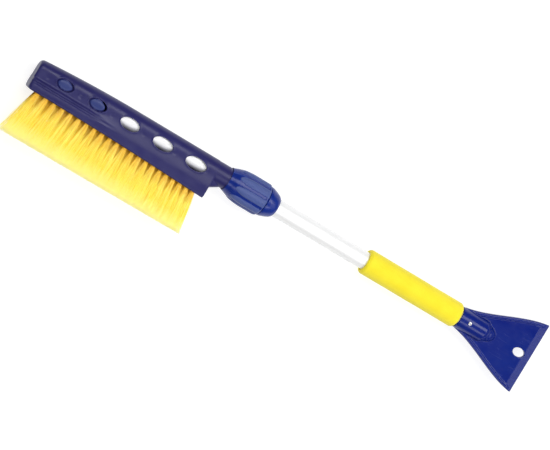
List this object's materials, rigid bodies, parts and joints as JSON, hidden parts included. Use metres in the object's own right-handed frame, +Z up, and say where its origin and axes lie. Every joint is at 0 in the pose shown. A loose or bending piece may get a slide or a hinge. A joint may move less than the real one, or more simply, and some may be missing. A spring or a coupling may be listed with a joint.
{
  "type": "snow broom",
  "caption": "Telescopic snow broom: hollow spined brush head with staggered bristle tufts, twist-lock nut, aluminium tube, foam grip and a fan-shaped ice scraper at the handle's end.",
  "frame": {"origin": "middle of the footprint of the broom lying flat, on the surface that it lies on", "axes": "+X along the handle from the brush's free end to the scraper's edge, +Y from the bristle tips to the spine, +Z up, out of the head's windowed face"},
  "size_m": [0.7696, 0.1442, 0.0458],
  "materials": {
    "head_plastic": "satin",
    "nut_plastic": "satin",
    "scraper_plastic": "gloss",
    "bristle_fibre": "matte",
    "foam": "matte",
    "tube_aluminium": "satin",
    "inner_plastic": "satin",
    "seal_rubber": "matte",
    "rivet_metal": "gloss",
    "rivet_pin_steel": "satin"
  },
  "bodies": {
    "brush_head": {"head_body": "head_plastic", "bristle_row_1": "bristle_fibre", "bristle_row_2": "bristle_fibre", "bristle_row_3": "bristle_fibre", "bristle_row_4": "bristle_fibre", "neck_bush": "inner_plastic"},
    "clamp": {"collet": "inner_plastic"},
    "twist_nut": {"lock_nut": "nut_plastic", "nut_nose": "nut_plastic", "wiper_seal": "seal_rubber"},
    "slider": {"guide_bush": "inner_plastic"},
    "handle": {"tube": "tube_aluminium", "tube_plug": "inner_plastic", "foam_grip": "foam", "scraper": "scraper_plastic", "scraper_plug": "inner_plastic", "rivet_front": "rivet_metal", "rivet_back": "rivet_metal", "rivet_pin_front": "rivet_pin_steel", "rivet_pin_back": "rivet_pin_steel"}
  },
  "joints": [
    {"name": "nut_travel", "type": "slide", "parent": "brush_head", "child": "clamp", "axis": [1, 0, 0], "range_m": [0, 0.0015]},
    {"name": "nut_turn", "type": "hinge", "parent": "clamp", "child": "twist_nut", "pos_m": [-0.07395, 0.0203, 0.0229], "axis": [1, 0, 0], "range_deg": [0, 90]},
    {"name": "handle_slide", "type": "slide", "parent": "brush_head", "child": "slider", "axis": [1, 0, 0], "range_m": [-0.009, 0.15]},
    {"name": "handle_turn", "type": "hinge", "parent": "slider", "child": "handle", "pos_m": [-0.26925, 0.0203, 0.0229], "axis": [1, 0, 0], "continuous": true}
  ],
  "couplings": [
    {"joint": "nut_turn", "follows": "nut_travel", "rad_per_m": 1047.2}
  ]
}
